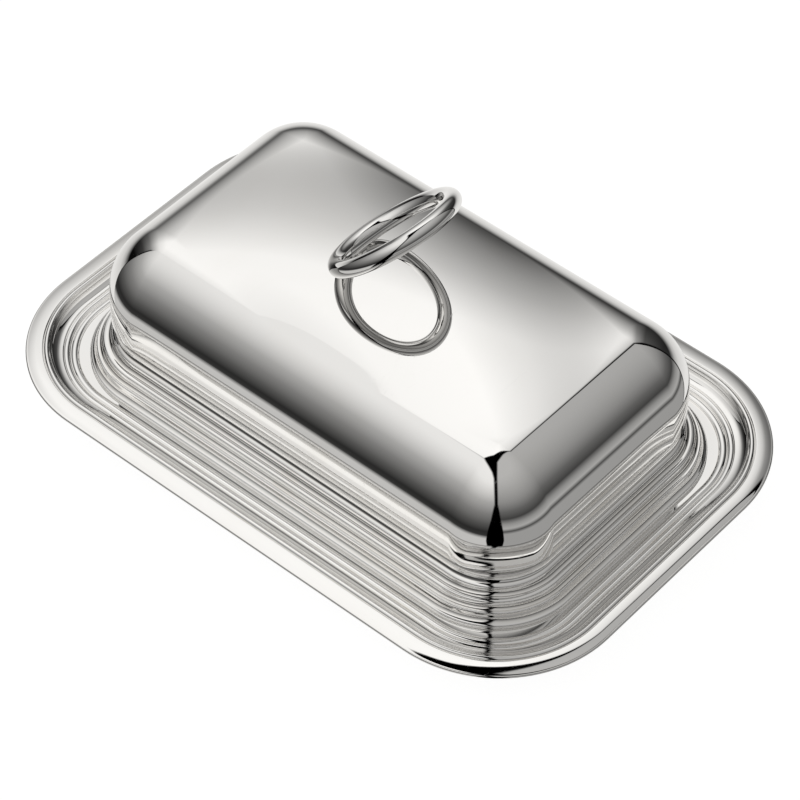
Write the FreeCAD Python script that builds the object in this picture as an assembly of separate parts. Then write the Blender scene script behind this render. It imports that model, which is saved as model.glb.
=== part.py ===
"""Covered butter dish: a moulded oblong tray, a glass liner, and a domed cover with a leaning ring handle.

Units are millimetres. The origin is the centre of the tray's base, on the table. X runs along the
dish, Y across it and Z up. Every moulding is drawn once as a flat section, whose first number is the
inset from the tray's outer edge and whose second is the height above the tray's rim, and is then
carried round the rounded rectangle of the dish.
"""
import FreeCAD, Part
import math
import os

V = FreeCAD.Vector

# Tray: overall plan, and the height of its rim above the table
HALF_LENGTH = 95.0
HALF_WIDTH = 65.2
TRAY_CORNER = 36.6
RIM_HEIGHT = 13.0
SHEET = 1.1

# Cover: the corners of its mouldings share one centre, a little inside the tray's own
COVER_CORNER = 40.6
WALL_INSET = 21.9
WALL_FOOT = 12.0
DOME_SHEET = 0.9

# The dome is everything within ROUND_OVER of a crowned sheet that lies inside it: the sheet's straight
# edges are at SPRING_HEIGHT above the rim, and it bulges by SHEET_CROWN in the middle
ROUND_OVER = COVER_CORNER - WALL_INSET
SPRING_HEIGHT = 21.3
SHEET_CROWN = 4.9

# Butter liner of pressed glass
LINER_INSET = 28.5
LINER_CORNER = 10.0
LINER_HEIGHT = 14.0
LINER_GLASS = 3.0
LINER_DRAFT = 1.6

# Ring handle: it leans over the cover along X and touches the cover at its lowest point
RING_RADIUS = 17.0
RING_WIRE_RADIUS = 2.45
RING_LEAN = 42.5
RING_CENTRE_X = -1.0

# Stud, saddle, washer and nut that hold the ring
STUD_RADIUS = 1.25
STUD_IN_RING = 1.8
STUD_BELOW = 4.2
STUD_CLEARANCE = 0.1
SADDLE_RADIUS = 2.6
WASHER_RADIUS = 4.0
WASHER_THICKNESS = 0.6
NUT_ACROSS_FLATS = 5.0
NUT_HEIGHT = 2.2

# Heights of the seat that the cover stands on and of the well's floor, from the rim
SEAT_LEVEL = -2.7
WELL_FLOOR = SHEET - RIM_HEIGHT


def section(start, steps):
    """Return a closed flat face from a start point and steps, drawn in the XZ plane.

    A step of one point is a straight line to it. A step of two points is an arc through the first
    that ends at the second. The outline closes itself with a straight line.
    """
    def at(point):
        return V(point[0], 0, point[1])

    edges = []
    here = start
    for step in steps:
        if len(step) == 2 and isinstance(step[0], tuple):
            edges.append(Part.Arc(at(here), at(step[0]), at(step[1])).toShape())
            here = step[1]
        else:
            edges.append(Part.makeLine(at(here), at(step)))
            here = step
    if math.dist(here, start) > 1e-6:
        edges.append(Part.makeLine(at(here), at(start)))
    return Part.Face(Part.Wire(edges))


def carried_round(flat, corner):
    """Carry a section (inset, height) round the dish, with every corner turned about one centre."""
    straight_x = HALF_LENGTH - corner
    straight_y = HALF_WIDTH - corner
    # The section stands in the XZ plane with its inset measured inward from the edge at x = corner
    blade = flat.mirror(V(0, 0, 0), V(1, 0, 0)).translated(V(corner, 0, RIM_HEIGHT))
    quarter = blade.revolve(V(0, 0, 0), V(0, 0, 1), 90)
    pieces = []
    for turn, (cx, cy) in enumerate(((1, 1), (-1, 1), (-1, -1), (1, -1))):
        centre = V(cx * straight_x, cy * straight_y, 0)
        pieces.append(quarter.rotated(V(0, 0, 0), V(0, 0, 1), 90 * turn).translated(centre))
        run = 2 * (straight_y if turn % 2 == 0 else straight_x)
        edge = blade.extrude(V(0, run, 0)).translated(V(0, -run, 0))
        pieces.append(edge.rotated(V(0, 0, 0), V(0, 0, 1), 90 * turn).translated(centre))
    return pieces[0].multiFuse(pieces[1:]).removeSplitter()


def rounded_plate(half_x, half_y, radius, low, high):
    """Return an upright block whose plan is a rounded rectangle."""
    block = Part.makeBox(2 * half_x, 2 * half_y, high - low, V(-half_x, -half_y, low))
    upright = [edge for edge in block.Edges if abs(edge.tangentAt(edge.FirstParameter).z) > 0.99]
    return block.makeFillet(radius, upright)


def tray():
    """Return the tray: brim, bead, cove and reeds, then the cover's seat and the well with its floor."""
    well_inset = 26.0
    rim = section((0.0, -0.35), [
        ((0.15, 0.05), (0.5, 0.12)),
        ((2.6, 0.58), (4.6, 0.72)),
        (4.9, 0.42),
        ((5.6, 0.98), (6.3, 0.72)),
        ((7.6, -0.85), (10.0, -1.7)),
        (10.2, -1.95),
        ((11.1, -1.75), (11.9, -2.35)),
        (12.2, -2.35),
        ((13.2, -2.1), (14.2, -2.7)),
        (18.4, SEAT_LEVEL),
        ((19.6, -3.3), (20.2, -4.6)),
        (22.0, -9.4),
        ((23.3, -11.3), (well_inset, WELL_FLOOR)),
        (well_inset, -RIM_HEIGHT),
        (24.6, -RIM_HEIGHT),
        ((22.3, -12.2), (20.9, -9.9)),
        (19.1, -5.0),
        ((18.6, -4.1), (17.6, -3.8)),
        (11.0, -3.5),
        ((7.6, -2.4), (5.6, -0.7)),
        ((3.0, -0.6), (0.6, -1.0)),
        ((0.15, -0.8), (0.0, -0.35)),
    ])
    border = carried_round(rim, TRAY_CORNER)
    overlap = 0.01
    floor = rounded_plate(HALF_LENGTH - well_inset + overlap, HALF_WIDTH - well_inset + overlap,
                          TRAY_CORNER - well_inset, 0.0, SHEET)
    return border.fuse(floor).removeSplitter()


def cover_border():
    """Return the cover's foot: a small bead, a broad cove, a step, a smaller cove and the hollow neck."""
    foot = section((16.0, SEAT_LEVEL), [
        ((15.6, -2.0), (16.3, -1.3)),
        ((18.35, 0.75), (19.3, 3.6)),
        (19.6, 3.85),
        (20.3, 4.0),
        ((21.45, 4.85), (22.0, 6.2)),
        (22.4, 6.5),
        (22.9, 6.7),
        ((23.4, 9.3), (WALL_INSET, WALL_FOOT)),
        (WALL_INSET + DOME_SHEET, WALL_FOOT),
        ((24.5, 9.4), (24.0, 5.9)),
        (23.1, 5.3),
        (21.0, 3.0),
        (20.3, 2.8),
        (17.3, SEAT_LEVEL),
    ])
    return carried_round(foot, COVER_CORNER)


def sheet_half_spans():
    """Return half the length and half the width of the crowned sheet inside the dome."""
    return HALF_LENGTH - COVER_CORNER, HALF_WIDTH - COVER_CORNER


def crown_level(x, y, shrink):
    """Return the height of the dome's top over a point near its middle, on a face shrunk by an offset."""
    span_x, span_y = sheet_half_spans()
    bulge = SHEET_CROWN * (1.0 - (x / span_x) ** 2) * (1.0 - (y / span_y) ** 2)
    return RIM_HEIGHT + SPRING_HEIGHT + bulge + ROUND_OVER - shrink


def reach(span, height, radius):
    """Return how far the dome reaches along one axis at a height above its spring line.

    Below the crown the face is an arc round the sheet's edge. On the crown it is the sheet, a parabola,
    set out by the radius along its own normal, so the height is found by halving the interval.
    """
    def on_crown(u):
        slope = math.atan(2.0 * SHEET_CROWN * u / span)
        return span * u + radius * math.sin(slope), SHEET_CROWN * (1.0 - u * u) + radius * math.cos(slope)

    if height <= on_crown(1.0)[1]:
        return span + math.sqrt(radius ** 2 - height ** 2)
    near, far = 0.0, 1.0
    for _ in range(40):
        middle = (near + far) / 2
        if on_crown(middle)[1] > height:
            near = middle
        else:
            far = middle
    return on_crown(near)[0]


def dome_section(height, radius):
    """Return the wire of the dome at a height above its spring line, a rounded rectangle."""
    span_x, span_y = sheet_half_spans()
    half_x = reach(span_x, height, radius)
    half_y = reach(span_y, height, radius)
    sharpest = 3.0
    if height < radius:
        corner = max(math.sqrt(radius ** 2 - height ** 2), sharpest)
    else:
        left = min((height - radius) / SHEET_CROWN, 0.999)
        diagonal = span_y * math.sqrt(1.0 - math.sqrt(left))
        corner = min(max((half_y - diagonal) / (1.0 - math.sqrt(0.5)), sharpest), 0.98 * half_y)
    level = RIM_HEIGHT + SPRING_HEIGHT + height
    slab = rounded_plate(half_x, half_y, corner, level, level + 1.0)
    return min(slab.Faces, key=lambda face: face.CenterOfMass.z).OuterWire


def dome_block(shrink, low):
    """Return the solid dome, shrunk all round by an offset, from a low level up to its crowned top."""
    span_x, span_y = sheet_half_spans()
    radius = ROUND_OVER - shrink
    wall = rounded_plate(span_x + radius, span_y + radius, radius, low, RIM_HEIGHT + SPRING_HEIGHT)
    heights = [radius * math.sin(math.radians(6 * step)) for step in range(15)]
    crown_parts = [0.02] + [0.1 * tenth for tenth in range(1, 10)] + [0.97]
    heights += [radius + SHEET_CROWN * part for part in crown_parts]
    cap = Part.makeLoft([dome_section(height, radius) for height in heights], True, True)
    return wall.fuse(cap)


def cover_dome():
    """Return the pressed cover: upright walls, rounded shoulders and a crowned top, with the stud's hole."""
    low = RIM_HEIGHT + WALL_FOOT
    shell = dome_block(0.0, low).cut(dome_block(DOME_SHEET, low - 6.0))
    hole = upright_rod(STUD_RADIUS + STUD_CLEARANCE, low, ring_foot_level() + 5.0)
    return shell.cut(hole)


def glass_liner():
    """Return the liner: a shallow oblong dish with slightly leaning sides, for a block of butter."""
    top_x = HALF_LENGTH - LINER_INSET
    top_y = HALF_WIDTH - LINER_INSET

    def leaning(shrink, low, high):
        """Loft between two rounded rectangles, the lower one smaller by the draft."""
        wires = []
        for level in (low, high):
            part_way = (level - SHEET) / LINER_HEIGHT
            inset = shrink + LINER_DRAFT * (1.0 - part_way)
            slab = rounded_plate(top_x - inset, top_y - inset, LINER_CORNER - inset, level, level + 1.0)
            base = min(slab.Faces, key=lambda face: face.CenterOfMass.z)
            wires.append(base.OuterWire)
        return Part.makeLoft(wires, True, False)

    body = leaning(0.0, SHEET, SHEET + LINER_HEIGHT)
    hollow = leaning(LINER_GLASS, SHEET + LINER_GLASS, SHEET + LINER_HEIGHT + 2.0)
    return body.cut(hollow)


def ring_foot_x():
    """Return where along the cover the ring's wire comes lowest."""
    return RING_CENTRE_X - RING_RADIUS * math.cos(math.radians(RING_LEAN))


def ring_foot_level():
    """Return the height of the wire's underside at its lowest, a hair above the cover's crown."""
    return crown_level(ring_foot_x(), 0.0, 0.0) + 0.05


def ring_centre():
    """Return the ring's centre: above its foot by the height that its lean gives it."""
    drop = RING_RADIUS * math.sin(math.radians(RING_LEAN)) + RING_WIRE_RADIUS
    return V(RING_CENTRE_X, 0, ring_foot_level() + drop)


def upright_rod(radius, low, high):
    """Return a round upright rod at the ring's foot."""
    return Part.makeCylinder(radius, high - low, V(ring_foot_x(), 0, low), V(0, 0, 1))


def ring_wire():
    """Return the plain ring, leaning up towards +X."""
    lean = math.radians(RING_LEAN)
    return Part.makeTorus(RING_RADIUS, RING_WIRE_RADIUS, ring_centre(), V(-math.sin(lean), 0, math.cos(lean)))


def ring_handle():
    """Return the ring with the blind hole that its stud is brazed into."""
    foot = ring_foot_level()
    return ring_wire().cut(upright_rod(STUD_RADIUS, foot - 2.0, foot + STUD_IN_RING))


def ring_saddle():
    """Return the small saddle that fills the gap between the round wire and the crowned cover."""
    low = RIM_HEIGHT + WALL_FOOT
    foot = ring_foot_level()
    post = upright_rod(SADDLE_RADIUS, foot - 2.0, foot + 0.6)
    return post.cut(ring_wire()).cut(dome_block(0.0, low)).cut(upright_rod(STUD_RADIUS, low, foot + 2.0))


def inner_level():
    """Return the height at which the washer's rim meets the crowned inside of the cover."""
    return crown_level(abs(ring_foot_x()) + WASHER_RADIUS, WASHER_RADIUS, DOME_SHEET)


def ring_stud():
    """Return the stud, from inside the ring's wire down through the cover to below its nut."""
    foot = ring_foot_level()
    return upright_rod(STUD_RADIUS, foot - STUD_BELOW - DOME_SHEET, foot + STUD_IN_RING)


def ring_washer():
    """Return the flat washer under the cover's top."""
    top = inner_level()
    disc = upright_rod(WASHER_RADIUS, top - WASHER_THICKNESS, top)
    return disc.cut(upright_rod(STUD_RADIUS + STUD_CLEARANCE, top - 2.0, top + 2.0))


def ring_nut():
    """Return the hexagon nut, with its corners bevelled, that draws the stud down."""
    top = inner_level() - WASHER_THICKNESS
    x = ring_foot_x()
    circumradius = NUT_ACROSS_FLATS / math.sqrt(3.0)
    corners = [
        V(x + circumradius * math.cos(math.radians(60 * k)), circumradius * math.sin(math.radians(60 * k)),
          top - NUT_HEIGHT)
        for k in range(7)
    ]
    prism = Part.Face(Part.makePolygon(corners)).extrude(V(0, 0, NUT_HEIGHT))
    bevel = Part.makeCone(NUT_ACROSS_FLATS / 2, NUT_ACROSS_FLATS / 2 + 2 * NUT_HEIGHT, 2 * NUT_HEIGHT,
                          V(x, 0, top - NUT_HEIGHT), V(0, 0, 1))
    return prism.common(bevel).cut(upright_rod(STUD_RADIUS, top - 4.0, top + 1.0))


def main():
    """Build every piece and write each one to its own file."""
    os.makedirs("parts", exist_ok=True)
    pieces = {
        "tray": tray,
        "glass_liner": glass_liner,
        "cover_border": cover_border,
        "cover_dome": cover_dome,
        "ring_handle": ring_handle,
        "ring_saddle": ring_saddle,
        "ring_stud": ring_stud,
        "ring_washer": ring_washer,
        "ring_nut": ring_nut,
    }
    for name, build in pieces.items():
        shape = build()
        box = shape.BoundBox
        print(name, shape.isValid(), len(shape.Solids), round(shape.Volume, 1),
              [round(value, 2) for value in (box.XMin, box.XMax, box.YMin, box.YMax, box.ZMin, box.ZMax)])
        shape.exportStep(os.path.join("parts", name + ".step"))


main()
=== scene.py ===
"""Covered butter dish in silver plate: surfaces, finishes and studio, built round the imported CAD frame.

Lengths inside the classes are in millimetres, as on a maker's drawing, and become metres when a mesh is
made. A moulding is drawn once as a section of (inset, height) points: the inset runs inward from the
tray's outer edge and the height is measured from the tray's rim.
"""

import logging
import math
from dataclasses import dataclass
from enum import Enum
from typing import Any

import bpy
import numpy as np
from mathutils import Matrix, Vector


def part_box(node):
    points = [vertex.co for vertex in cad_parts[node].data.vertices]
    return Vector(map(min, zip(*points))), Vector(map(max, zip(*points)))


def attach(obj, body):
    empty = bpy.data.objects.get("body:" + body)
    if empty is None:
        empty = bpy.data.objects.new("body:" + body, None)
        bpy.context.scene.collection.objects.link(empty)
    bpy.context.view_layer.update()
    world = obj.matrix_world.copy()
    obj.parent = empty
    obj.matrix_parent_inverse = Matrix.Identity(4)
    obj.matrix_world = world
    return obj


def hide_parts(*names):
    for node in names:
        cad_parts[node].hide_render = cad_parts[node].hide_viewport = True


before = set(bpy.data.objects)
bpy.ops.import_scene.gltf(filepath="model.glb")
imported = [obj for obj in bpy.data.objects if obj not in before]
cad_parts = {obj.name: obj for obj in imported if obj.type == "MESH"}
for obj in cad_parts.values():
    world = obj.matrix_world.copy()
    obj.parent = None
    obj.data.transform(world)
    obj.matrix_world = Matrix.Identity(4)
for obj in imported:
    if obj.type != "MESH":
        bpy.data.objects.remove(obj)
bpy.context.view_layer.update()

log = logging.getLogger("butter dish")

MM = 0.001
WELD = 1e-7
Point = tuple[float, float]


class Body(Enum):
    """The bodies of the frame that a piece can ride on."""

    TRAY = "tray"
    LINER = "liner"
    COVER = "cover"


class Slot(Enum):
    """The record's material slots."""

    SILVER = "silver"
    GLASS = "pressed_glass"
    BRASS = "plated_brass"


# ---------------------------------------------------------------------------------------------- shapes


class Outline:
    """A section drawn with straight lines and arcs, from a start point.

    Each point is (inset, height) in millimetres. Arcs are given by a point on the way and their end.
    """

    arc_points = 24
    sample_step = 0.04
    turn_per_point = math.radians(4.0)
    run_per_point = 1.4
    sharpest_radius = 0.8

    def __init__(self, start: Point) -> None:
        """Start the section.

        Args:
            start: The first (inset, height) point.
        """
        self.points = np.array([start], float)

    def line(self, *ends: Point) -> "Outline":
        """Go on in straight lines.

        Args:
            ends: The points to go through, in order.

        Returns:
            The outline itself, so that calls can follow each other.
        """
        self.points = np.vstack([self.points, np.array(ends, float)])
        return self

    def arc(self, via: Point, end: Point) -> "Outline":
        """Go on round the circle through the present point, a point on the way, and the end.

        The centre is where the perpendicular bisectors of the two chords meet.

        Args:
            via: A point on the way.
            end: The end of the arc.

        Returns:
            The outline itself, so that calls can follow each other.
        """
        start, via_point, last = self.points[-1], np.array(via, float), np.array(end, float)
        chords = np.array([via_point - start, last - via_point])
        middles = np.array([(start + via_point) / 2, (via_point + last) / 2])
        centre = np.linalg.solve(chords, np.sum(chords * middles, axis=1))
        angles = [math.atan2(*(point - centre)[::-1]) for point in (start, via_point, last)]
        angles = np.unwrap(angles)
        radius = np.linalg.norm(start - centre)
        sweep = np.linspace(angles[0], angles[2], self.arc_points)[1:]
        turned = centre + radius * np.c_[np.cos(sweep), np.sin(sweep)]
        self.points = np.vstack([self.points, turned])
        return self

    def softened(self, closed: bool, blur: float = 0.12) -> tuple[np.ndarray, np.ndarray]:
        """Round every crease a little and choose points where the section bends.

        The outline is sampled evenly and each coordinate is blurred with a bell curve, which turns a
        crease into a small radius. Samples are then kept so that neighbours differ by a few degrees of
        turn or by a short run, whichever comes first.

        Args:
            closed: Whether the outline's end joins its start.
            blur: The bell curve's standard deviation in millimetres.

        Returns:
            The chosen points, and how sharply the section bends at each, from -1 to 1, crests positive.
        """
        step = self.sample_step
        corners = np.vstack([self.points, self.points[:1]]) if closed else self.points
        run = np.r_[0.0, np.cumsum(np.linalg.norm(np.diff(corners, axis=0), axis=1))]
        count = int(run[-1] / step)
        even = np.linspace(0.0, run[-1], count, endpoint=not closed)
        fine = np.c_[np.interp(even, run, corners[:, 0]), np.interp(even, run, corners[:, 1])]
        reach = int(4 * blur / step)
        bell = np.exp(-0.5 * (np.arange(-reach, reach + 1) * step / blur) ** 2)
        bell /= bell.sum()
        if closed:
            padded = np.pad(fine, ((reach, reach), (0, 0)), mode="wrap")
        else:
            padded = np.pad(fine, ((reach, reach), (0, 0)), mode="reflect", reflect_type="odd")
        smooth = np.c_[np.convolve(padded[:, 0], bell, "valid"), np.convolve(padded[:, 1], bell, "valid")]
        tangent = np.gradient(smooth, axis=0)
        heading = np.unwrap(np.arctan2(tangent[:, 1], tangent[:, 0]))
        turning = np.gradient(heading)
        cost = np.cumsum(np.abs(turning) / self.turn_per_point + step / self.run_per_point)
        cost -= cost[0]
        wanted = np.linspace(0.0, cost[-1], int(cost[-1]) + 1, endpoint=not closed)
        index = np.interp(wanted, cost, np.arange(count))
        whole = np.arange(count)
        chosen = np.c_[np.interp(index, whole, smooth[:, 0]), np.interp(index, whole, smooth[:, 1])]
        bend = np.clip(np.interp(index, whole, turning) / step * self.sharpest_radius, -1.0, 1.0)
        return chosen, bend


@dataclass(frozen=True)
class Plan:
    """The base line that a section is carried round: a rectangle whose corners are quarter turns."""

    span_x: float
    span_y: float
    along_x: int = 10
    along_y: int = 6
    per_corner: int = 30

    def columns(self) -> tuple[np.ndarray, np.ndarray]:
        """Work out where each column of the surface stands and which way it faces.

        Along a side the foot moves and the facing stays. Round a corner the foot stays and the facing
        turns through a right angle.

        Returns:
            The feet, shape (columns, 2), and the unit facings, shape (columns, 2), anticlockwise.
        """
        feet, facings = [], []
        for quarter in range(4):
            turn = quarter * math.pi / 2
            facing = np.array([math.cos(turn), math.sin(turn)])
            beside = np.array([-facing[1], facing[0]])
            ahead, run, steps = (
                (self.span_y, self.span_x, self.along_x) if quarter % 2
                else (self.span_x, self.span_y, self.along_y)
            )
            side = ahead * facing + np.outer(np.linspace(-run, run, steps + 1), beside)
            angles = turn + np.linspace(0.0, math.pi / 2, self.per_corner + 1)[1:-1]
            feet += [side, np.tile(side[-1], (len(angles), 1))]
            facings += [np.tile(facing, (steps + 1, 1)), np.c_[np.cos(angles), np.sin(angles)]]
        return np.vstack(feet), np.vstack(facings)

    def carried(self, reach: np.ndarray, height: np.ndarray) -> np.ndarray:
        """Carry a section round: foot plus reach times facing, at the given height.

        Args:
            reach: How far out of the base line each row lies, shape (rows,).
            height: The height of each row, shape (rows,).

        Returns:
            The grid of points, shape (rows, columns, 3).
        """
        feet, facings = self.columns()
        flat = feet[None] + reach[:, None, None] * facings[None]
        return np.concatenate([flat, np.broadcast_to(height[:, None, None], flat.shape[:2] + (1,))], axis=2)

    def closing(self, height: float, rows: int = 6) -> np.ndarray:
        """Fill the base rectangle: it shrinks evenly from all sides until only its middle line is left.

        Args:
            height: The height of the flat.
            rows: How many steps the shrinking takes.

        Returns:
            The grid of points from the middle line outward, shape (rows, columns, 3).
        """
        feet, _ = self.columns()
        inset = self.span_y * np.linspace(1.0, 0.0, rows, endpoint=False)[:, None]
        x = feet[None, :, 0] * (self.span_x - inset) / self.span_x
        y = feet[None, :, 1] * (self.span_y - inset) / self.span_y
        return np.stack([x, y, np.full_like(x, height)], axis=2)


def skin(name: str, grid: np.ndarray, closed: bool, normals: np.ndarray | None = None,
         bend: np.ndarray | None = None) -> bpy.types.Object:
    """Skin a grid of points whose columns go right round, and whose rows may too.

    Points that coincide become one, so a quad that loses a side becomes a triangle and one that loses
    two is dropped. If the volume inside comes out negative, every face is turned over.

    Args:
        name: The piece's name.
        grid: Points in millimetres, shape (rows, columns, 3).
        closed: Whether the last row joins the first.
        normals: The true surface normals, shape (rows, columns, 3), where shading needs them.
        bend: A value for each row, kept as the attribute "bend".

    Returns:
        The new object, at the origin, with its place in its mesh.
    """
    rows, columns = grid.shape[:2]
    points = grid.reshape(-1, 3) * MM
    keys = np.round(points / WELD).astype(np.int64)
    _, first, merged = np.unique(keys, axis=0, return_index=True, return_inverse=True)
    index = merged.reshape(rows, columns)
    near = index if closed else index[:-1]
    far = np.roll(index, -1, axis=0) if closed else index[1:]
    quads = np.stack([near, far, np.roll(far, -1, axis=1), np.roll(near, -1, axis=1)], axis=-1).reshape(-1, 4)
    points = points[first]
    a, b, c, d = (points[quads[:, k]] for k in range(4))
    volume = np.sum(a * (np.cross(b, c) + np.cross(c, d)))
    if volume < 0:
        quads = quads[:, ::-1]
    kept = quads != np.roll(quads, -1, axis=1)
    sides = kept.sum(axis=1)
    whole = sides >= 3
    loops = quads[whole][kept[whole]]
    totals = sides[whole]
    mesh = bpy.data.meshes.new(name)
    mesh.vertices.add(len(points))
    mesh.vertices.foreach_set("co", points.astype(np.float32).ravel())
    mesh.loops.add(len(loops))
    mesh.loops.foreach_set("vertex_index", loops.astype(np.int32))
    mesh.polygons.add(len(totals))
    mesh.polygons.foreach_set("loop_start", np.r_[0, np.cumsum(totals)[:-1]].astype(np.int32))
    mesh.update(calc_edges=True)
    mesh.validate()
    mesh.polygons.foreach_set("use_smooth", np.ones(len(mesh.polygons), bool))
    if normals is not None:
        mesh.normals_split_custom_set_from_vertices(normals.reshape(-1, 3)[first])
    if bend is not None:
        layer = mesh.attributes.new("bend", "FLOAT", "POINT")
        layer.data.foreach_set("value", np.repeat(bend, columns)[first].astype(np.float32))
    piece = bpy.data.objects.new(name, mesh)
    bpy.context.scene.collection.objects.link(piece)
    return piece


def place(piece: bpy.types.Object, body: Body, slot: Slot, material: bpy.types.Material, *nodes: str) -> None:
    """Dress a new piece, let it ride on a body, and let it stand for CAD nodes.

    Args:
        piece: The new piece.
        body: The body that it rides on.
        slot: The material slot that its finish belongs to; not used.
        material: Its finish.
        nodes: The CAD nodes that it stands for.
    """
    piece.data.materials.append(material)
    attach(piece, body.value)
    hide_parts(*nodes)
    log.info("%s: %d faces, stands for %s", piece.name, len(piece.data.polygons), ", ".join(nodes))


def dress_node(node: str, material: bpy.types.Material) -> None:
    """Give a carried-over CAD node its finish.

    Args:
        node: The node's name.
        material: Its finish.
    """
    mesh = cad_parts[node].data
    mesh.materials.clear()
    mesh.materials.append(material)
    log.info("%s: CAD shape kept, dressed in %s", node, material.name)


# ------------------------------------------------------------------------------------------ node trees


class Wiring:
    """Adds nodes to a tree and joins their sockets."""

    def __init__(self, tree: bpy.types.NodeTree) -> None:
        """Take over a tree and clear it.

        Args:
            tree: The node tree to wire.
        """
        self.tree = tree
        tree.nodes.clear()

    def add(self, kind: str, inputs: dict[Any, Any] | None = None, **settings: Any) -> bpy.types.Node:
        """Add a node, set its options and fill its sockets.

        Args:
            kind: The node's type, without its "ShaderNode" start unless it is a group's own node.
            inputs: Socket name or number, to a value or to the socket that feeds it.
            settings: Options of the node.

        Returns:
            The new node.
        """
        full = kind if kind.startswith("NodeGroup") else "ShaderNode" + kind
        node = self.tree.nodes.new(full)
        for option, value in settings.items():
            setattr(node, option, value)
        for socket, value in (inputs or {}).items():
            if isinstance(value, bpy.types.NodeSocket):
                self.tree.links.new(value, node.inputs[socket])
            else:
                node.inputs[socket].default_value = value
        return node

    def maths(self, operation: str, first: Any, second: Any = 0.0, third: Any = 0.0) -> bpy.types.NodeSocket:
        """Add a Math node.

        Args:
            operation: Its operation.
            first: The first value or socket.
            second: The second value or socket.
            third: The third value or socket.

        Returns:
            The result's socket.
        """
        return self.add("Math", {0: first, 1: second, 2: third}, operation=operation).outputs[0]

    def ranged(self, value: Any, low: float, high: float, to_low: float = 0.0, to_high: float = 1.0,
               smooth: bool = False) -> bpy.types.NodeSocket:
        """Map a range of values on to another, held at its ends.

        Args:
            value: The value or socket.
            low: Where the range starts.
            high: Where it ends.
            to_low: What the start becomes.
            to_high: What the end becomes.
            smooth: Whether the change eases in and out.

        Returns:
            The result's socket.
        """
        kind = "SMOOTHSTEP" if smooth else "LINEAR"
        inputs = {0: value, 1: low, 2: high, 3: to_low, 4: to_high}
        return self.add("MapRange", inputs, interpolation_type=kind).outputs[0]

    def mixed(self, factor: Any, first: Any, second: Any) -> bpy.types.NodeSocket:
        """Mix two colours.

        Args:
            factor: How much of the second.
            first: The first colour or socket.
            second: The second colour or socket.

        Returns:
            The colour's socket.
        """
        node = self.add("Mix", {0: factor, 6: first, 7: second}, data_type="RGBA")
        return node.outputs[2]

    def ramp(self, value: Any, stops: tuple[tuple[float, float], ...]) -> bpy.types.NodeSocket:
        """Add a grey colour ramp.

        Args:
            value: What drives it, from 0 to 1.
            stops: (position, grey) pairs.

        Returns:
            The ramp's colour socket.
        """
        node = self.add("ValToRGB", {0: value})
        elements = node.color_ramp.elements
        while len(elements) < len(stops):
            elements.new(0.5)
        for element, (position, grey) in zip(elements, stops):
            element.position = position
            element.color = (grey, grey, grey, 1.0)
        return node.outputs[0]

    def joined(self, source: bpy.types.NodeSocket, node: bpy.types.Node, socket: Any) -> None:
        """Link a socket to a node's input."""
        self.tree.links.new(source, node.inputs[socket])


def polish_group() -> bpy.types.NodeTree:
    """Build the hand-polish group: smears, hairlines and the slow ripple that buffing leaves.

    Smears are soft noise. Hairlines are noise stretched a hundredfold along one direction, taken
    twice, crossing. The ripple is slow noise that becomes a normal through a Bump node.

    Returns:
        The group, with outputs Smears, Hairlines and Normal.
    """
    tree = bpy.data.node_groups.new("hand polish", "ShaderNodeTree")
    wire = Wiring(tree)
    for label, value in (("Smear size", 30.0), ("Hairline density", 900.0), ("Ripple size", 90.0),
                         ("Ripple depth", 0.25)):
        socket = tree.interface.new_socket(label, in_out="INPUT", socket_type="NodeSocketFloat")
        socket.default_value = value
    tree.interface.new_socket("Smears", in_out="OUTPUT", socket_type="NodeSocketFloat")
    tree.interface.new_socket("Hairlines", in_out="OUTPUT", socket_type="NodeSocketFloat")
    tree.interface.new_socket("Normal", in_out="OUTPUT", socket_type="NodeSocketVector")
    given = wire.add("NodeGroupInput")
    place_on = wire.add("TexCoord").outputs["Object"]
    smear = wire.add("TexNoise", {"Vector": place_on, "Scale": given.outputs["Smear size"], "Detail": 4.0,
                                  "Roughness": 0.6, "Distortion": 0.8})
    smears = wire.ranged(smear.outputs[0], 0.42, 0.72, smooth=True)
    lines = []
    for turn in (0.35, -1.1):
        laid = wire.add("Mapping", {"Vector": place_on, "Rotation": (0.4, turn, turn * 2),
                                    "Scale": (1.0, 0.012, 1.0)})
        hair = wire.add("TexNoise", {"Vector": laid.outputs[0], "Scale": given.outputs["Hairline density"],
                                     "Detail": 1.0})
        lines.append(wire.ranged(hair.outputs[0], 0.66, 0.74))
    hairlines = wire.maths("MAXIMUM", lines[0], lines[1])
    ripple = wire.add("TexNoise", {"Vector": place_on, "Scale": given.outputs["Ripple size"], "Detail": 1.0,
                                   "Roughness": 0.4})
    bump = wire.add("Bump", {"Strength": given.outputs["Ripple depth"], "Distance": 0.00004,
                             "Height": ripple.outputs[0]})
    out = wire.add("NodeGroupOutput")
    wire.joined(smears, out, "Smears")
    wire.joined(hairlines, out, "Hairlines")
    wire.joined(bump.outputs[0], out, "Normal")
    return tree


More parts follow.
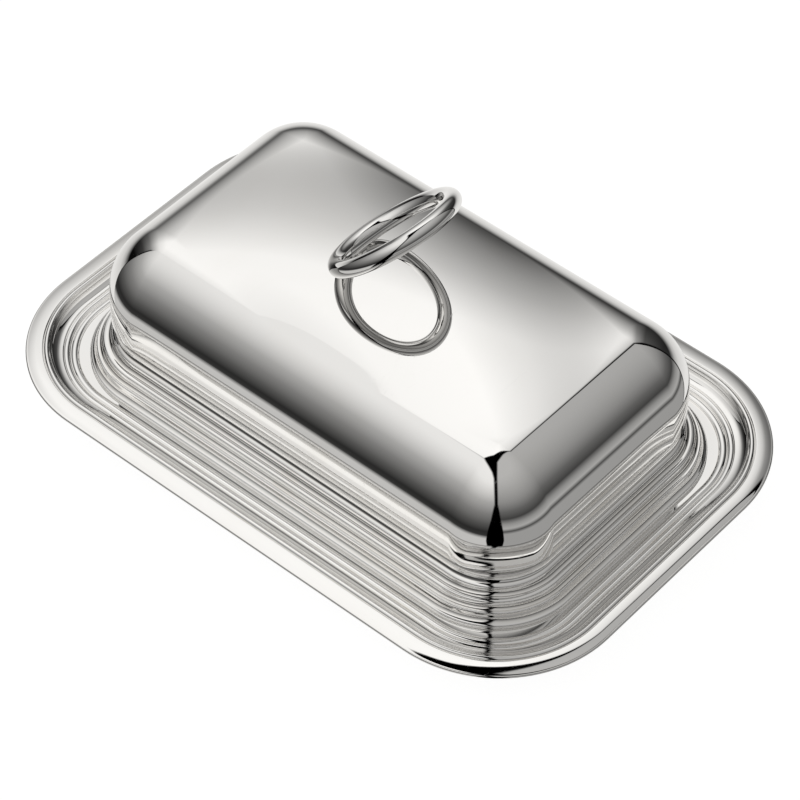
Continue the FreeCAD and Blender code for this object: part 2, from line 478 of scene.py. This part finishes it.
@dataclass(frozen=True)
class SilverPlate:
    """Mirror-polished silver plate: bright metal, faint smears and hairlines, a warm breath in hollows."""

    polish: bpy.types.NodeTree
    name: str = "silver plate"
    bright: tuple[float, float, float, float] = (0.955, 0.95, 0.94, 1.0)
    dulled: tuple[float, float, float, float] = (0.86, 0.83, 0.78, 1.0)
    smoothest: float = 0.02
    ripple_depth: float = 0.2

    def material(self) -> bpy.types.Material:
        """Build the finish.

        Returns:
            The material.
        """
        material = bpy.data.materials.new(self.name)
        material.use_nodes = True
        wire = Wiring(material.node_tree)
        marks = wire.add("Group", node_tree=self.polish)
        marks.inputs["Ripple depth"].default_value = self.ripple_depth
        bend = wire.add("Attribute", attribute_name="bend").outputs["Fac"]
        hollow = wire.ranged(bend, -0.1, -0.9)
        breath = wire.maths("MULTIPLY", hollow, wire.ranged(marks.outputs["Smears"], 0.0, 1.0, 0.25, 0.8))
        tint = wire.maths("ADD", breath, wire.maths("MULTIPLY", marks.outputs["Smears"], 0.12))
        colour = wire.mixed(tint, self.bright, self.dulled)
        rubbed = wire.maths("MULTIPLY", marks.outputs["Hairlines"], 0.05)
        smeared = wire.maths("MULTIPLY_ADD", marks.outputs["Smears"], 0.03, self.smoothest)
        rough = wire.maths("ADD", smeared, rubbed)
        shader = wire.add("BsdfPrincipled", {"Base Color": colour, "Metallic": 1.0, "Roughness": rough,
                                             "Normal": marks.outputs["Normal"]})
        out = wire.add("OutputMaterial")
        wire.joined(shader.outputs[0], out, "Surface")
        return material


@dataclass(frozen=True)
class PressedGlass:
    """Clear pressed glass with the soft skin that a mould leaves and faint dust in soft patches."""

    polish: bpy.types.NodeTree
    name: str = "pressed glass"

    def material(self) -> bpy.types.Material:
        """Build the finish.

        Returns:
            The material.
        """
        material = bpy.data.materials.new(self.name)
        material.use_nodes = True
        wire = Wiring(material.node_tree)
        marks = wire.add("Group", node_tree=self.polish)
        marks.inputs["Ripple size"].default_value = 160.0
        marks.inputs["Ripple depth"].default_value = 0.9
        rough = wire.ranged(marks.outputs["Smears"], 0.0, 1.0, 0.01, 0.07)
        colour = wire.mixed(marks.outputs["Smears"], (0.96, 0.985, 0.975, 1.0), (0.9, 0.95, 0.93, 1.0))
        shader = wire.add("BsdfPrincipled", {"Base Color": colour, "Roughness": rough, "IOR": 1.5,
                                             "Transmission Weight": 1.0, "Normal": marks.outputs["Normal"]})
        out = wire.add("OutputMaterial")
        wire.joined(shader.outputs[0], out, "Surface")
        return material


@dataclass(frozen=True)
class TurnedBrass:
    """Lightly plated brass with the rings that turning leaves round the stud's axis."""

    polish: bpy.types.NodeTree
    axis: tuple[float, float, float]
    name: str = "turned brass"

    def material(self) -> bpy.types.Material:
        """Build the finish.

        Returns:
            The material.
        """
        material = bpy.data.materials.new(self.name)
        material.use_nodes = True
        wire = Wiring(material.node_tree)
        marks = wire.add("Group", node_tree=self.polish)
        marks.inputs["Smear size"].default_value = 260.0
        centred = wire.add("Mapping", {"Vector": wire.add("TexCoord").outputs["Object"],
                                       "Location": tuple(-value for value in self.axis)})
        rings = wire.add("TexWave", {"Vector": centred.outputs[0], "Scale": 900.0, "Distortion": 0.6,
                                     "Detail": 2.0}, wave_type="RINGS", rings_direction="Z")
        rough = wire.maths("MULTIPLY_ADD", rings.outputs["Fac"], 0.12,
                           wire.ranged(marks.outputs["Smears"], 0.0, 1.0, 0.16, 0.34))
        colour = wire.mixed(marks.outputs["Smears"], (0.83, 0.74, 0.52, 1.0), (0.62, 0.5, 0.3, 1.0))
        bump = wire.add("Bump", {"Strength": 0.25, "Distance": 0.00003, "Height": rings.outputs["Fac"],
                                 "Normal": marks.outputs["Normal"]})
        shader = wire.add("BsdfPrincipled", {"Base Color": colour, "Metallic": 1.0, "Roughness": rough,
                                             "Normal": bump.outputs[0]})
        out = wire.add("OutputMaterial")
        wire.joined(shader.outputs[0], out, "Surface")
        return material


# ---------------------------------------------------------------------------------------------- pieces


@dataclass(frozen=True)
class Sizes:
    """The driving dimensions that several sub-assemblies share, in millimetres."""

    half_length: float
    half_width: float
    rim_height: float = 13.0
    sheet: float = 1.1
    tray_corner: float = 36.6
    cover_corner: float = 40.6
    seat_level: float = -2.7

    @classmethod
    def from_frame(cls) -> "Sizes":
        """Read the dish's length and width from the tray in the frame."""
        _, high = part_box("tray")
        return cls(half_length=high.x / MM, half_width=high.y / MM)

    def plan(self, corner: float, **counts: int) -> Plan:
        """Return the base line whose corners turn about centres that far in from both edges."""
        return Plan(self.half_length - corner, self.half_width - corner, **counts)


@dataclass(frozen=True)
class Tray:
    """The moulded tray: brim, bead, cove and reeds, then the cover's seat and the well."""

    sizes: Sizes
    well_inset: float = 26.0

    def section(self) -> Outline:
        """Draw the section from the well's floor over the rim and back under it.

        Returns:
            The outline, open at the floor's middle.
        """
        floor, table = self.sizes.sheet - self.sizes.rim_height, -self.sizes.rim_height
        seat = self.sizes.seat_level
        outline = Outline((self.sizes.tray_corner, floor)).line((self.well_inset, floor))
        outline.arc((23.3, -11.3), (22.0, -9.4)).line((20.2, -4.6)).arc((19.6, -3.3), (18.4, seat))
        outline.line((14.2, seat)).arc((13.2, -2.1), (12.2, -2.35)).line((11.9, -2.35))
        outline.arc((11.1, -1.75), (10.2, -1.95)).line((10.0, -1.7)).arc((7.6, -0.85), (6.3, 0.72))
        outline.arc((5.6, 0.98), (4.9, 0.42)).line((4.6, 0.72)).arc((2.6, 0.58), (0.5, 0.12))
        outline.arc((0.15, 0.05), (0.0, -0.35)).arc((0.15, -0.8), (0.6, -1.0)).arc((3.0, -0.6), (5.6, -0.7))
        outline.arc((7.6, -2.4), (11.0, -3.5)).line((17.6, -3.8)).arc((18.6, -4.1), (19.1, -5.0))
        outline.line((20.9, -9.9)).arc((22.3, -12.2), (24.6, table)).line((self.sizes.tray_corner, table))
        return outline

    def build(self, silver: bpy.types.Material) -> None:
        """Make the tray: its section is carried round, and both faces of the floor are closed.

        Args:
            silver: The finish.
        """
        plan = self.sizes.plan(self.sizes.tray_corner)
        points, bend = self.section().softened(closed=False)
        reach = self.sizes.tray_corner - points[:, 0]
        height = points[:, 1] + self.sizes.rim_height
        top, under = plan.closing(height[0]), plan.closing(height[-1])[::-1]
        grid = np.concatenate([top, plan.carried(reach, height), under])
        rest = np.zeros(len(top))
        piece = skin("tray_shell", grid, closed=False, bend=np.r_[rest, bend, rest])
        place(piece, Body.TRAY, Slot.SILVER, silver, "tray")


@dataclass(frozen=True)
class Liner:
    """The pressed-glass liner: leaning sides, a rolled lip, and shallow flutes round the outside."""

    sizes: Sizes
    corner: float = 10.0
    glass: float = 3.0
    draft: float = 1.6
    flutes_per_side: tuple[int, int] = (26, 13)
    flute_depth: float = 0.35
    steps_per_flute: int = 8

    def build(self, glass: bpy.types.Material) -> None:
        """Make the liner: a U-shaped section carried round, with the outer wall drawn in by the flutes.

        The flutes push a point inward by a rectified sine of its place round the wall, strongest at
        mid-height and gone at the lip and the base.

        Args:
            glass: The finish.
        """
        low, high = (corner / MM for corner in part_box("glass_liner"))
        along_x, along_y = (flutes * self.steps_per_flute for flutes in self.flutes_per_side)
        plan = Plan(high.x - self.corner, high.y - self.corner, along_x, along_y, per_corner=32)
        base, lip = low.z, high.z
        inner_foot = -self.draft - self.glass
        outline = Outline((-self.corner, base + self.glass)).line((inner_foot - 1.5, base + self.glass))
        outline.arc((inner_foot - 0.5, base + self.glass + 0.4), (inner_foot, base + self.glass + 1.6))
        outline.line((-self.glass - 0.1, lip - 1.4)).arc((-self.glass / 2 - 0.05, lip), (-0.1, lip - 1.4))
        outline.line((-self.draft + 0.1, base + 1.2))
        outline.arc((-self.draft - 0.5, base + 0.3), (-self.draft - 1.4, base))
        outline.line((-self.corner, base))
        points, _ = outline.softened(closed=False, blur=0.15)
        wall = plan.carried(points[:, 0], points[:, 1])
        feet, facings = plan.columns()
        arc = np.arctan2(facings[:, 1], facings[:, 0]) * self.corner
        run = np.linalg.norm(np.diff(feet, axis=0), axis=1) + np.abs(np.diff(arc) % 6.0)
        around = np.cumsum(np.r_[0.0, run])
        pitch = 2 * plan.span_x / self.flutes_per_side[0]
        wave = np.abs(np.sin(math.pi * around / pitch))
        past_lip = np.arange(len(points)) > len(points) / 2
        outer = np.clip((points[:, 0] + self.draft + 1.0) * 2, 0, 1) * past_lip
        rise = np.clip((points[:, 1] - base) / (lip - base), 0, 1)
        strength = self.flute_depth * outer * np.sin(math.pi * rise) ** 2
        wall[:, :, :2] -= (strength[:, None] * wave[None])[:, :, None] * facings[None]
        grid = np.concatenate([plan.closing(points[0, 1]), wall, plan.closing(points[-1, 1])[::-1]])
        piece = skin("liner_dish", grid, closed=False)
        place(piece, Body.LINER, Slot.GLASS, glass, "glass_liner")


@dataclass(frozen=True)
class Cover:
    """The lift-off cover: a moulded foot with a hollow neck, and the domed box above it."""

    sizes: Sizes
    wall_inset: float = 21.9
    wall_foot: float = 12.0
    sheet: float = 0.9
    spring_height: float = 21.3
    sheet_crown: float = 4.9
    stud_hole: float = 1.35
    crown_steps: int = 44
    shoulder_steps: int = 30
    lip: float = 0.06

    @property
    def round_over(self) -> float:
        """Return the radius of the shoulders."""
        return self.sizes.cover_corner - self.wall_inset

    def foot_section(self) -> Outline:
        """Draw the foot: a small bead, a cove cut as two steps, a smaller step and the neck.

        Returns:
            The closed outline.
        """
        outline = Outline((self.wall_inset, self.wall_foot)).arc((23.4, 9.3), (22.9, 6.7)).line((22.4, 6.5))
        outline.line((22.0, 6.2), (21.8, 5.0)).arc((21.5, 4.4), (20.3, 4.0)).line((19.6, 3.85), (19.3, 3.6))
        outline.line((19.15, 2.3)).arc((18.95, 1.85), (17.8, 1.5)).line((17.55, 1.3), (17.4, 0.1))
        outline.arc((17.2, -0.55), (16.3, -1.3))
        outline.arc((15.6, -2.0), (16.0, self.sizes.seat_level)).line((17.3, self.sizes.seat_level))
        outline.line((20.3, 2.8), (21.0, 3.0), (23.1, 5.3), (24.0, 5.9))
        outline.arc((24.5, 9.4), (self.wall_inset + self.sheet, self.wall_foot))
        return outline

    def build_foot(self, silver: bpy.types.Material) -> None:
        """Make the foot by carrying its closed section round.

        Args:
            silver: The finish.
        """
        plan = self.sizes.plan(self.sizes.cover_corner)
        points, bend = self.foot_section().softened(closed=True)
        grid = plan.carried(self.sizes.cover_corner - points[:, 0], points[:, 1] + self.sizes.rim_height)
        piece = skin("cover_foot", grid, closed=True, bend=bend)
        place(piece, Body.COVER, Slot.SILVER, silver, "cover_border")

    def crown(self, plan: Plan, radius: float, hole_x: float, steps: int) -> tuple[np.ndarray, np.ndarray]:
        """Work out the crowned top at an offset from the sheet inside the dome.

        The sheet's bulge is c(1 - (x/X)^2)(1 - (y/Y)^2). Each point of it moves out along the sheet's
        normal by the radius. Rows go from a small ring round the stud's hole to the sheet's edge.

        Args:
            plan: The base line, which is the sheet's edge.
            radius: How far the face is from the sheet.
            hole_x: The hole's place along the dish.
            steps: How many steps the rows take from the hole to the edge.

        Returns:
            The points and the outward normals, both of shape (rows, columns, 3).
        """
        stretch = np.array([1 + 2 * radius * self.sheet_crown / plan.span_x ** 2,
                            1 + 2 * radius * self.sheet_crown / plan.span_y ** 2])
        feet, _ = plan.columns()
        centre = np.array([hole_x, 0.0]) / stretch
        away = feet - centre
        away /= np.linalg.norm(away, axis=1, keepdims=True)
        ring = centre + self.stud_hole * away / stretch
        share = np.linspace(0.0, 1.0, steps + 1)[:, None, None]
        flat = (1 - share) * ring[None] + share * feet[None]
        u, v = flat[..., 0] / plan.span_x, flat[..., 1] / plan.span_y
        bulge = self.sheet_crown * (1 - u ** 2) * (1 - v ** 2)
        normal = np.stack([2 * self.sheet_crown * u * (1 - v ** 2) / plan.span_x,
                           2 * self.sheet_crown * v * (1 - u ** 2) / plan.span_y, np.ones_like(u)], axis=2)
        normal /= np.linalg.norm(normal, axis=2, keepdims=True)
        base = self.sizes.rim_height + self.spring_height
        return np.concatenate([flat, (base + bulge)[..., None]], axis=2) + radius * normal, normal

    def shoulder(self, plan: Plan, radius: float, steps: int) -> tuple[np.ndarray, np.ndarray]:
        """Work out the shoulders: arcs about the sheet's edge, from the crown's slope down to upright.

        Args:
            plan: The base line, which is the sheet's edge.
            radius: The radius of the arcs.
            steps: How many steps each arc takes.

        Returns:
            The points and the outward normals, both of shape (rows, columns, 3).
        """
        feet, facings = plan.columns()
        on_end = np.isclose(np.abs(facings[:, 0]), 1.0)
        on_side = np.isclose(np.abs(facings[:, 1]), 1.0)
        end_slope = 2 * self.sheet_crown / plan.span_x * (1 - (feet[:, 1] / plan.span_y) ** 2)
        side_slope = 2 * self.sheet_crown / plan.span_y * (1 - (feet[:, 0] / plan.span_x) ** 2)
        slope = np.where(on_end, end_slope, 0.0)
        slope = np.where(on_side, side_slope, slope)
        tilt = np.arctan(slope)[None]
        share = np.linspace(0.0, 1.0, steps + 1)[1:, None]
        angle = tilt + (math.pi / 2 - tilt) * share
        normal = np.stack([facings[None, :, 0] * np.sin(angle), facings[None, :, 1] * np.sin(angle),
                           np.cos(angle)], axis=2)
        base = np.array([0.0, 0.0, self.sizes.rim_height + self.spring_height])
        return np.c_[feet, np.zeros(len(feet))][None] + base + radius * normal, normal

    def wall(self, plan: Plan, radius: float, drops: tuple[float, ...]) -> tuple[np.ndarray, np.ndarray]:
        """Work out the upright wall below the shoulders.

        Args:
            plan: The base line, which is the sheet's edge.
            radius: How far the wall is from the base line.
            drops: How far below the spring line each row lies.

        Returns:
            The points and the outward normals, both of shape (rows, columns, 3).
        """
        _, facings = plan.columns()
        height = self.sizes.rim_height + self.spring_height - np.array(drops)
        points = plan.carried(np.full(len(drops), radius), height)
        normal = np.concatenate([facings, np.zeros((len(facings), 1))], axis=1)
        return points, np.broadcast_to(normal, points.shape)

    def build_dome(self, silver: bpy.types.Material, hole_x: float) -> None:
        """Make the dome as one closed sheet: out over the crown, down the wall, round the lip and back.

        Args:
            silver: The finish.
            hole_x: The stud hole's place along the dish.
        """
        plan = self.sizes.plan(self.sizes.cover_corner, along_x=72, along_y=36, per_corner=32)
        depth = self.spring_height - self.wall_foot
        faces = []
        for radius in (self.round_over, self.round_over - self.sheet):
            crown = self.crown(plan, radius, hole_x, self.crown_steps)
            shoulder = self.shoulder(plan, radius, self.shoulder_steps)
            wall = self.wall(plan, radius, (depth / 2, depth - self.lip))
            faces.append([np.concatenate(parts) for parts in zip(crown, shoulder, wall)])
        outer, inner = faces
        lips = [self.wall(plan, radius, (depth,))[0] for radius in
                (self.round_over - self.lip, self.round_over - self.sheet + self.lip)]
        down = np.broadcast_to(np.array([0.0, 0.0, -1.0]), lips[0].shape)
        grid = np.concatenate([outer[0], *lips, inner[0][::-1]])
        normals = np.concatenate([outer[1], down, down, -inner[1][::-1]])
        piece = skin("cover_dome_shell", grid, closed=True, normals=normals)
        place(piece, Body.COVER, Slot.SILVER, silver, "cover_dome")


@dataclass(frozen=True)
class RingHandle:
    """The plain ring that leans over the cover, and the fixings that hold it."""

    wire_radius: float = 2.45
    lean: float = 42.5
    thread_radius: float = 1.25
    thread_pitch: float = 0.45
    thread_depth: float = 0.24
    steps_round_ring: int = 160
    steps_round_wire: int = 48
    steps_per_pitch: int = 10

    def build_ring(self, silver: bpy.types.Material) -> None:
        """Make the ring: a circle of wire in a plane that rises towards +X.

        A point is the centre, plus the ring's radius along a spoke, plus the wire's radius along a
        direction that turns from the spoke to the plane's normal.

        Args:
            silver: The finish.
        """
        low, high = (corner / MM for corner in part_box("ring_handle"))
        centre = np.array((low + high) / 2)
        radius = high.y - self.wire_radius
        lean = math.radians(self.lean)
        along, across = np.array([math.cos(lean), 0.0, math.sin(lean)]), np.array([0.0, 1.0, 0.0])
        normal = np.cross(along, across)
        turn = np.linspace(0.0, 2 * math.pi, self.steps_round_ring, endpoint=False)[None, :, None]
        wire = np.linspace(0.0, 2 * math.pi, self.steps_round_wire, endpoint=False)[:, None, None]
        spoke = along * np.cos(turn) + across * np.sin(turn)
        outward = spoke * np.cos(wire) + normal * np.sin(wire)
        grid = centre + radius * spoke + self.wire_radius * outward
        piece = skin("ring", grid, closed=True, normals=outward)
        place(piece, Body.COVER, Slot.SILVER, silver, "ring_handle")

    def build_stud(self, brass: bpy.types.Material) -> None:
        """Make the stud with its thread: the radius falls and rises once a turn and once a pitch.

        Args:
            brass: The finish.
        """
        low, high = (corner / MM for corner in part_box("ring_stud"))
        axis = (low + high) / 2
        rows = int((high.z - low.z) / self.thread_pitch * self.steps_per_pitch)
        height = np.linspace(low.z, high.z, rows)[:, None]
        turn = np.linspace(0.0, 2 * math.pi, self.steps_round_wire, endpoint=False)[None]
        phase = (height / self.thread_pitch - turn / (2 * math.pi)) % 1.0
        groove = self.thread_depth * (1 - np.abs(2 * phase - 1))
        chamfer = np.clip(0.3 - (height - low.z), 0.0, 0.3)
        radius = self.thread_radius - np.maximum(groove, chamfer)
        grid = np.stack([axis.x + radius * np.cos(turn), radius * np.sin(turn),
                         np.broadcast_to(height, radius.shape)], axis=2)
        ends = [np.broadcast_to([axis.x, 0.0, level], grid[:1].shape) for level in (low.z, high.z)]
        piece = skin("ring_stud_threaded", np.concatenate([ends[0], grid, ends[1]]), closed=False)
        place(piece, Body.COVER, Slot.BRASS, brass, "ring_stud")

    def build(self, silver: bpy.types.Material, brass: bpy.types.Material) -> None:
        """Make the ring and its stud, and dress the saddle, washer and nut.

        Args:
            silver: The finish of the ring and its saddle.
            brass: The finish of the stud, washer and nut.
        """
        self.build_ring(silver)
        self.build_stud(brass)
        dress_node("ring_saddle", silver)
        dress_node("ring_washer", brass)
        dress_node("ring_nut", brass)


# ---------------------------------------------------------------------------------------------- studio


def displayed(grey: float) -> float:
    """Return the light that a display shows as a grey from 0 to 255."""
    share = grey / 255
    return share / 12.92 if share <= 0.04045 else ((share + 0.055) / 1.055) ** 2.4


@dataclass(frozen=True)
class Tent:
    """The soft studio light: three cloth panels round the dish, with dark seams where they meet.

    A direction is told by two angles in degrees from straight up: "side", to the camera's right, and
    "near", towards the camera. Glows are (angle or height, displayed grey) pairs, seams are
    (angle, angle) pairs, and fades are the degrees past a seam between which a panel comes up.
    """

    azimuth: float
    warmth: tuple[float, float, float, float] = (1.0, 0.99, 0.972, 1.0)
    strength: float = 1.06
    span: float = 120.0
    left_fade: Point = (-1.5, 2.0)
    right_fade: Point = (-1.5, 1.5)
    back_fade: Point = (-0.8, 1.5)
    left_glow: tuple[Point, ...] = ((-0.5, 190), (-0.4, 50), (-0.28, 40), (-0.05, 82), (0.24, 123),
                                    (0.53, 165), (0.77, 211), (0.88, 229), (1.0, 234))
    right_glow: tuple[Point, ...] = ((-0.35, 150), (-0.27, 70), (-0.18, 165), (-0.05, 140), (0.1, 62),
                                     (0.3, 95), (0.53, 136), (0.77, 161), (0.95, 179))
    back_glow: tuple[Point, ...] = ((-84, 70), (-79, 110), (-74, 146), (-70, 162), (-62, 185), (-54, 205),
                                    (-46, 228), (-38, 248), (-28, 252))
    back_spread: tuple[Point, ...] = ((-62, 12), (-50, 60), (-40, 130), (-28, 228), (-18, 250), (2, 255),
                                      (12, 230), (17, 208), (23, 150), (34, 80), (60, 45))
    far_glow: tuple[Point, ...] = ((-0.5, 225), (-0.2, 205), (-0.07, 172), (0.03, 100), (0.09, 0))
    left_seam: tuple[Point, ...] = ((-60, -112), (-50, -95), (-34, -60), (-28.5, -40), (-24, -28), (-20, -20),
                                    (-15, -18.5), (-9, -16.5), (0, -12.5), (10, -8), (20, -5.5), (60, -4.5),
                                    (85, -12), (110, -24))
    right_seam: tuple[Point, ...] = ((-56, 112), (-41, 71), (-34, 50), (-29, 30), (-26, 14), (-20, 8),
                                     (-12, 3.5), (-6, 0), (20, -0.2), (60, 1.5), (85, 9), (110, 20))
    back_seam: tuple[Point, ...] = ((-112, -60), (-95, -52), (-60, -36), (-40, -30.5), (-27, -19),
                                    (-22, -13.5), (-16, -15.5), (-10, -17), (-5, -18), (0, -22), (5, -25.5),
                                    (10, -26.5), (17, -27.5), (30, -33), (60, -40), (112, -60))

    def ramp_by_height(self, wire: Wiring, height: bpy.types.NodeSocket,
                       glow: tuple[Point, ...]) -> bpy.types.NodeSocket:
        """Return the light of a panel by height, where heights run from -1 to 1."""
        stops = tuple(((level + 1) / 2, displayed(grey)) for level, grey in glow)
        return wire.ramp(wire.ranged(height, -1.0, 1.0), stops)

    def ramp_by_angle(self, wire: Wiring, angle: bpy.types.NodeSocket,
                      glow: tuple[Point, ...]) -> bpy.types.NodeSocket:
        """Return the light of a panel by an angle, where angles run over the tent's span."""
        stops = tuple((degrees / (2 * self.span) + 0.5, displayed(grey)) for degrees, grey in glow)
        return wire.ramp(wire.ranged(angle, -self.span, self.span), stops)

    def seam(self, wire: Wiring, angle: bpy.types.NodeSocket,
             points: tuple[Point, ...]) -> bpy.types.NodeSocket:
        """Return where a seam lies, in degrees, for each angle, along a smooth curve through its points."""
        node = wire.add("FloatCurve", {"Value": wire.ranged(angle, -self.span, self.span)})
        curve = node.mapping.curves[0]
        spots = [(first / (2 * self.span) + 0.5, second / (2 * self.span) + 0.5) for first, second in points]
        curve.points[0].location, curve.points[1].location = spots[0], spots[-1]
        for spot in spots[1:-1]:
            curve.points.new(*spot)
        for point in curve.points:
            point.handle_type = "VECTOR"
        node.mapping.update()
        return wire.ranged(node.outputs[0], 0.0, 1.0, -self.span, self.span)

    def build(self) -> None:
        """Wire the world: each direction takes its panel's glow, and the seams stay dark."""
        world = bpy.data.worlds.new("light tent")
        bpy.context.scene.world = world
        world.use_nodes = True
        wire = Wiring(world.node_tree)
        turn = math.radians(self.azimuth)
        direction = wire.add("TexCoord").outputs["Generated"]

        def along(x: float, y: float) -> bpy.types.NodeSocket:
            """Return how much of the direction lies along a level line."""
            node = wire.add("VectorMath", {0: direction, 1: (x, y, 0.0)}, operation="DOT_PRODUCT")
            return node.outputs["Value"]

        up = wire.add("SeparateXYZ", {0: direction}).outputs["Z"]
        flat = wire.maths("SQRT", wire.maths("MAXIMUM", wire.maths("MULTIPLY_ADD", up, wire.maths(
            "MULTIPLY", up, -1.0), 1.0), 1e-6))
        stretch = wire.maths("MULTIPLY", wire.maths("DIVIDE", wire.maths("ARCCOSINE", up), flat),
                             math.degrees(1.0))
        side = wire.maths("MULTIPLY", along(math.cos(turn), math.sin(turn)), stretch)
        near = wire.maths("MULTIPLY", along(math.sin(turn), -math.cos(turn)), stretch)

        past_left = wire.maths("SUBTRACT", self.seam(wire, near, self.left_seam), side)
        past_right = wire.maths("SUBTRACT", side, self.seam(wire, near, self.right_seam))
        past_back = wire.maths("SUBTRACT", self.seam(wire, side, self.back_seam), near)
        left = wire.maths("MULTIPLY", wire.ranged(past_left, *self.left_fade, smooth=True),
                          self.ramp_by_height(wire, up, self.left_glow))
        right = wire.maths("MULTIPLY", wire.ranged(past_right, *self.right_fade, smooth=True),
                           self.ramp_by_height(wire, up, self.right_glow))
        spread = wire.maths("MULTIPLY", self.ramp_by_angle(wire, near, self.back_glow),
                            self.ramp_by_angle(wire, side, self.back_spread))
        far = wire.maths("ADD", spread, self.ramp_by_height(wire, up, self.far_glow))
        back = wire.maths("MULTIPLY", wire.ranged(past_back, *self.back_fade, smooth=True), far)
        total = wire.maths("MAXIMUM", wire.maths("MAXIMUM", left, right), back)

        tinted = wire.mixed(total, (0.0, 0.0, 0.0, 1.0), self.warmth)
        seen = wire.add("LightPath").outputs["Is Camera Ray"]
        glow = wire.add("Background", {"Color": tinted, "Strength": self.strength})
        plain = wire.add("Background", {"Color": (1.0, 1.0, 1.0, 1.0)})
        shown = wire.add("MixShader", {0: seen, 1: glow.outputs[0], 2: plain.outputs[0]})
        out = wire.add("OutputWorld")
        wire.joined(shown.outputs[0], out, "Surface")
        log.info("light tent: three panels")


@dataclass(frozen=True)
class Studio:
    """The floor, the camera and how the picture is developed.

    The camera's distance and aim are in millimetres, and the floor's half width is in metres.
    """

    azimuth: float = 40.0
    elevation: float = 47.46
    roll: float = 0.89
    distance: float = 937.5
    lens: float = 158.8
    aim: tuple[float, float, float] = (3.12, -1.72, 13.0)
    floor_half: float = 6.0
    floor_grey: float = 0.32
    floor_glow: float = 0.9

    def build_floor(self) -> None:
        """Lay the floor: a wide pale sheet that catches a faint shadow and glows like a lit sweep."""
        mesh = bpy.data.meshes.new("floor")
        half = self.floor_half
        corners = [(-half, -half, 0.0), (half, -half, 0.0), (half, half, 0.0), (-half, half, 0.0)]
        mesh.from_pydata(corners, [], [(0, 1, 2, 3)])
        floor = bpy.data.objects.new("floor", mesh)
        bpy.context.scene.collection.objects.link(floor)
        material = bpy.data.materials.new("pale sweep")
        material.use_nodes = True
        wire = Wiring(material.node_tree)
        matt = wire.add("BsdfDiffuse", {"Color": (self.floor_grey,) * 3 + (1.0,)})
        glow = wire.add("Emission", {"Color": (1.0, 1.0, 1.0, 1.0), "Strength": self.floor_glow})
        both = wire.add("AddShader", {0: matt.outputs[0], 1: glow.outputs[0]})
        out = wire.add("OutputMaterial")
        wire.joined(both.outputs[0], out, "Surface")
        mesh.materials.append(material)
        floor.visible_glossy = False

    def build_camera(self) -> None:
        """Set the camera up: it looks at its aim from an azimuth and an elevation, with a slight roll."""
        azimuth, elevation, roll = (math.radians(v) for v in (self.azimuth, self.elevation, self.roll))
        back = Vector((math.sin(azimuth) * math.cos(elevation), -math.cos(azimuth) * math.cos(elevation),
                       math.sin(elevation)))
        level = Vector((math.cos(azimuth), math.sin(azimuth), 0.0))
        upward = back.cross(level)
        right = level * math.cos(roll) + upward * math.sin(roll)
        top = upward * math.cos(roll) - level * math.sin(roll)
        lens = bpy.data.cameras.new("camera")
        lens.lens = self.lens
        lens.sensor_width = 36.0
        lens.clip_start, lens.clip_end = 0.05, 50.0
        camera = bpy.data.objects.new("camera", lens)
        bpy.context.scene.collection.objects.link(camera)
        spot = (Vector(self.aim) + back * self.distance) * MM
        camera.matrix_world = Matrix.Translation(spot) @ Matrix((right, top, back)).transposed().to_4x4()
        bpy.context.scene.camera = camera

    def build(self) -> None:
        """Set up the floor, the tent and the camera, and develop the picture plainly."""
        self.build_floor()
        Tent(azimuth=self.azimuth).build()
        self.build_camera()
        bpy.context.scene.view_settings.view_transform = "Standard"


def main() -> None:
    """Build every sub-assembly in order, then the studio."""
    logging.basicConfig(level=logging.INFO, format="%(name)s: %(message)s")
    polish = polish_group()
    silver = SilverPlate(polish).material()
    glass = PressedGlass(polish).material()
    sizes = Sizes.from_frame()
    stud_low, stud_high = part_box("ring_stud")
    stud_x = (stud_low.x + stud_high.x) / 2
    brass = TurnedBrass(polish, axis=(stud_x, 0.0, 0.0)).material()
    Tray(sizes).build(silver)
    Liner(sizes).build(glass)
    cover = Cover(sizes)
    cover.build_foot(silver)
    cover.build_dome(silver, stud_x / MM)
    RingHandle().build(silver, brass)
    Studio().build()


if __name__ == "__main__":
    main()
